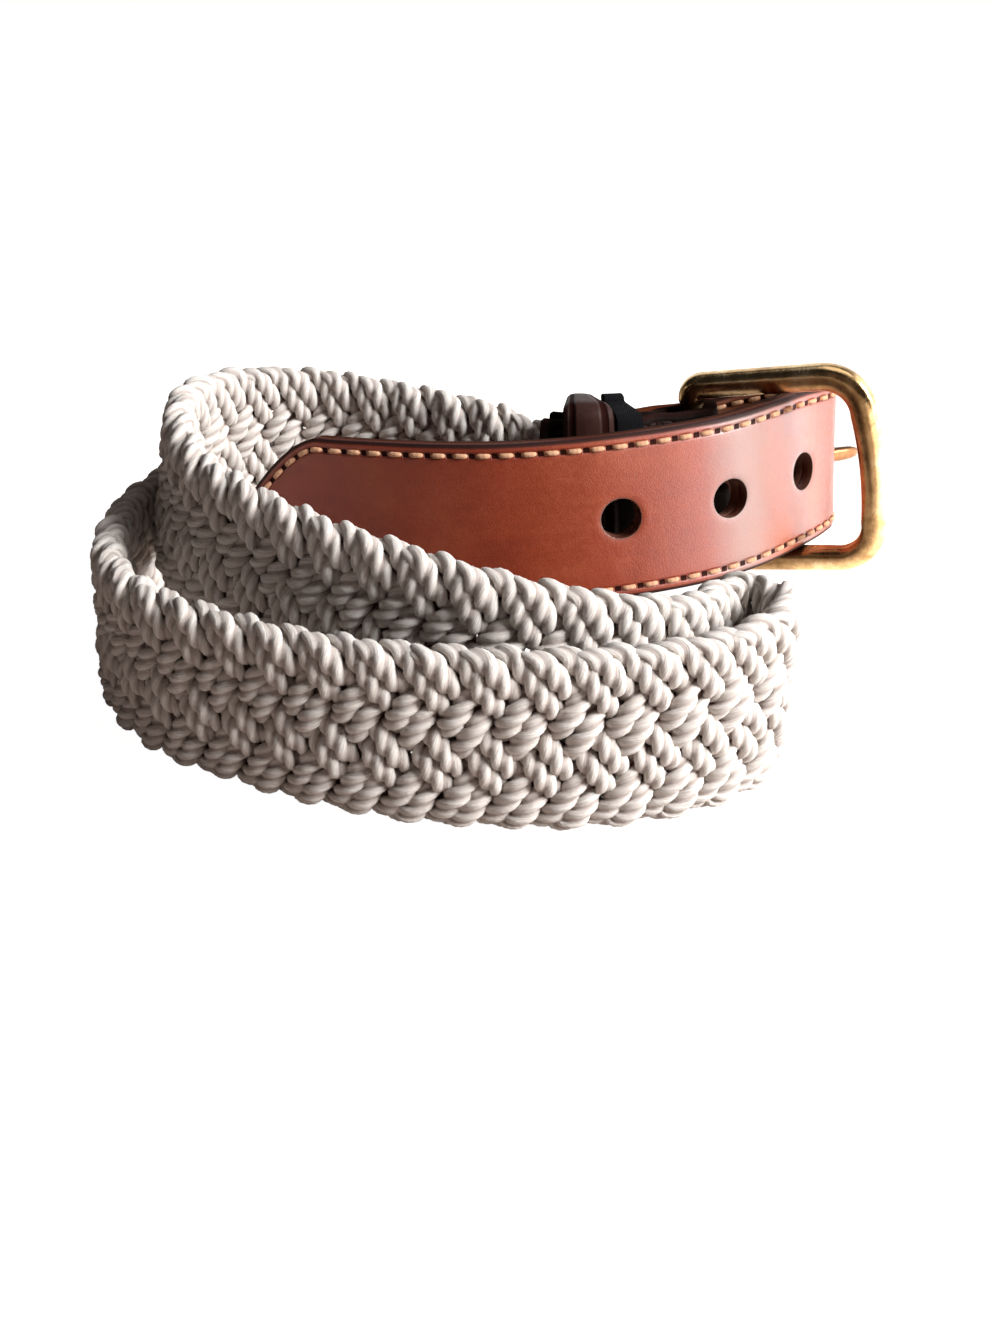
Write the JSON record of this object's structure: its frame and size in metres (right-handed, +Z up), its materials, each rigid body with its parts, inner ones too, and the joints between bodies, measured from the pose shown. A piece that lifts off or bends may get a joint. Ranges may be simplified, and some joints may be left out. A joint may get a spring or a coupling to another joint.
{
  "type": "braided belt",
  "caption": "Cotton-coloured flat plaited belt with stitched brown leather ends and a brass frame buckle, fastened and lying rolled up on a surface",
  "frame": {"origin": "centre of the bounding box in plan, on the surface that the belt rests on", "axes": "+X to the buckle's side along the longest extent, +Y away from the long plaited front, +Z up"},
  "size_m": [0.1817, 0.1364, 0.0643],
  "materials": {
    "cotton": "natural undyed cotton cord, five strands plaited flat, matt and fibrous",
    "leather_tan": "smooth vegetable-tanned leather, low sheen, dark painted edges, pale saddle stitching",
    "label_black": "black woven tape, plain",
    "brass": "solid brass, worn and slightly tarnished"
  },
  "bodies": {
    "root": {"braid": "cotton", "tip_strap_face": "leather_tan", "tip_strap_lining": "leather_tan", "chape": "leather_tan", "keeper": "leather_tan", "label": "label_black", "buckle_frame": "brass", "prong": "brass"}
  },
  "joints": []
}
